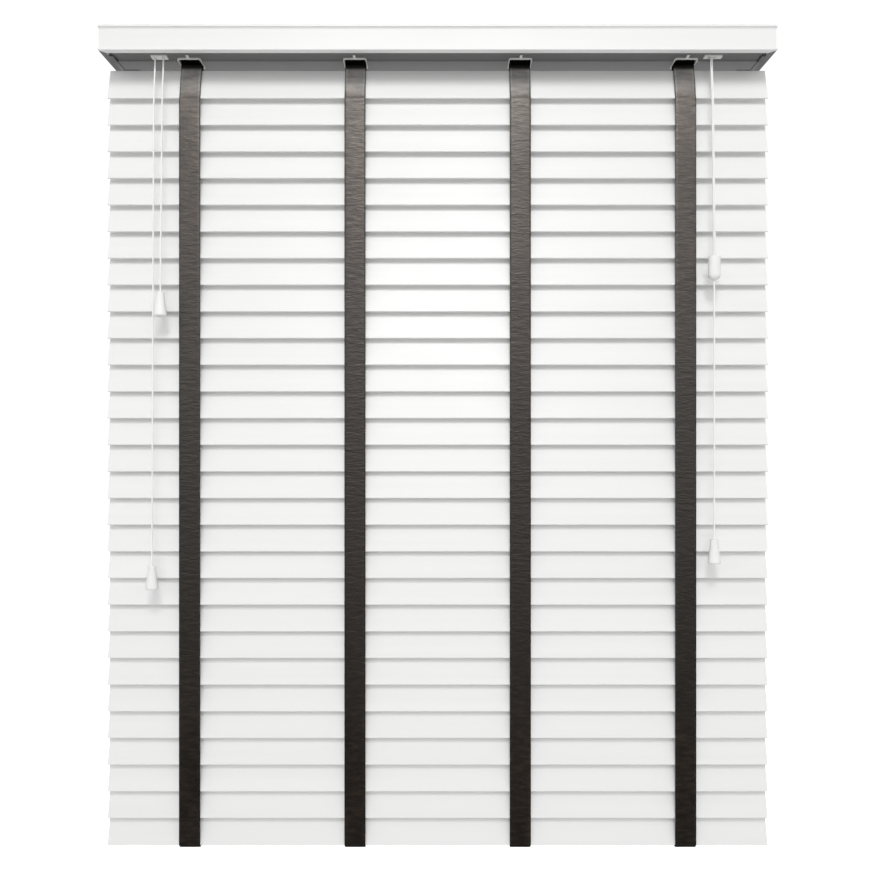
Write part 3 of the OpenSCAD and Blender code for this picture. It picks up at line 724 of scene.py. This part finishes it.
# Brightness from straight below, at 0, to straight above, at 1
FRONT_SKY = [(0.0, 0.42), (0.13, 0.36), (0.24, 0.03), (0.42, 0.03), (0.50, 0.12), (0.58, 0.47), (0.66, 0.66),
             (0.75, 0.58), (0.88, 0.22), (1.0, 0.12)]
REAR_SKY = [(0.0, 0.42), (0.14, 0.36), (0.27, 0.18), (0.43, 0.17), (0.52, 0.38), (0.7, 0.46), (1.0, 0.2)]
SKY_GAIN, BACKDROP = 2.3, 1.05


def stage_floor(half, z):
    mat, tree, bsdf = material("floor")
    drift = noise_of(tree, object_coords(tree), 0.8)
    tree.links.new(grey_ramp(tree, drift, [(0.3, 0.94), (0.7, 0.96)]), bsdf.inputs["Base Color"])
    bsdf.inputs["Roughness"].default_value = 0.9
    bsdf.inputs["Emission Color"].default_value = (1, 1, 1, 1)
    bsdf.inputs["Emission Strength"].default_value = 0.8
    corners = [(-half, -half, z), (half, -half, z), (half, half, z), (-half, half, z)]
    plane = mesh_object("floor", corners, [(0, 1, 2, 3)], smooth=False)
    dress(plane, mat)
    # It is there to be seen, and light that bounces off it comes from the world instead
    plane.visible_diffuse = False
    plane.visible_glossy = False


def studio_world():
    """The studio is bright in front, from a little below eye level up, and dim under the blind."""
    world = bpy.data.worlds.new("studio")
    bpy.context.scene.world = world
    world.use_nodes = True
    tree = world.node_tree
    direction = node(tree, "ShaderNodeTexCoord").outputs["Generated"]
    _, y, z = node(tree, "ShaderNodeSeparateXYZ", {"Vector": direction}).outputs
    height = map_range(tree, z, -1.0, 1.0)
    behind = map_range(tree, y, -0.15, 0.15)
    front, rear = grey_ramp(tree, height, FRONT_SKY), grey_ramp(tree, height, REAR_SKY)
    sky = mix_colours(tree, "MIX", behind, front, rear)
    # The camera sees a plain white backdrop
    seen = node(tree, "ShaderNodeLightPath").outputs["Is Camera Ray"]
    level = node(tree, "ShaderNodeMix", {0: seen, 2: math_node(tree, "MULTIPLY", sky, SKY_GAIN), 3: BACKDROP})
    background = tree.nodes["Background"]
    tree.links.new(level.outputs[0], background.inputs["Strength"])
    background.inputs["Color"].default_value = (1, 1, 1, 1)


def softbox(name, place, target, size, power):
    data = bpy.data.lights.new(name, "AREA")
    data.shape = "RECTANGLE"
    data.size, data.size_y = size
    data.energy = power
    light = bpy.data.objects.new(name, data)
    bpy.context.scene.collection.objects.link(light)
    light.location = place
    light.rotation_euler = (Vector(target) - Vector(place)).to_track_quat("-Z", "Y").to_euler()
    return light


stage_floor(FLOOR_HALF, FLOOR_Z)
studio_world()
softbox("key", (0, -2.6, 1.7), (0, 0, -0.6), (0.8, 0.8), 38)
fill = softbox("fill", (0, -4.2, -1.5), (0, 0, -0.5), (3.0, 0.6), 43)
fill.visible_glossy = False
bpy.context.scene.view_settings.view_transform = "Standard"
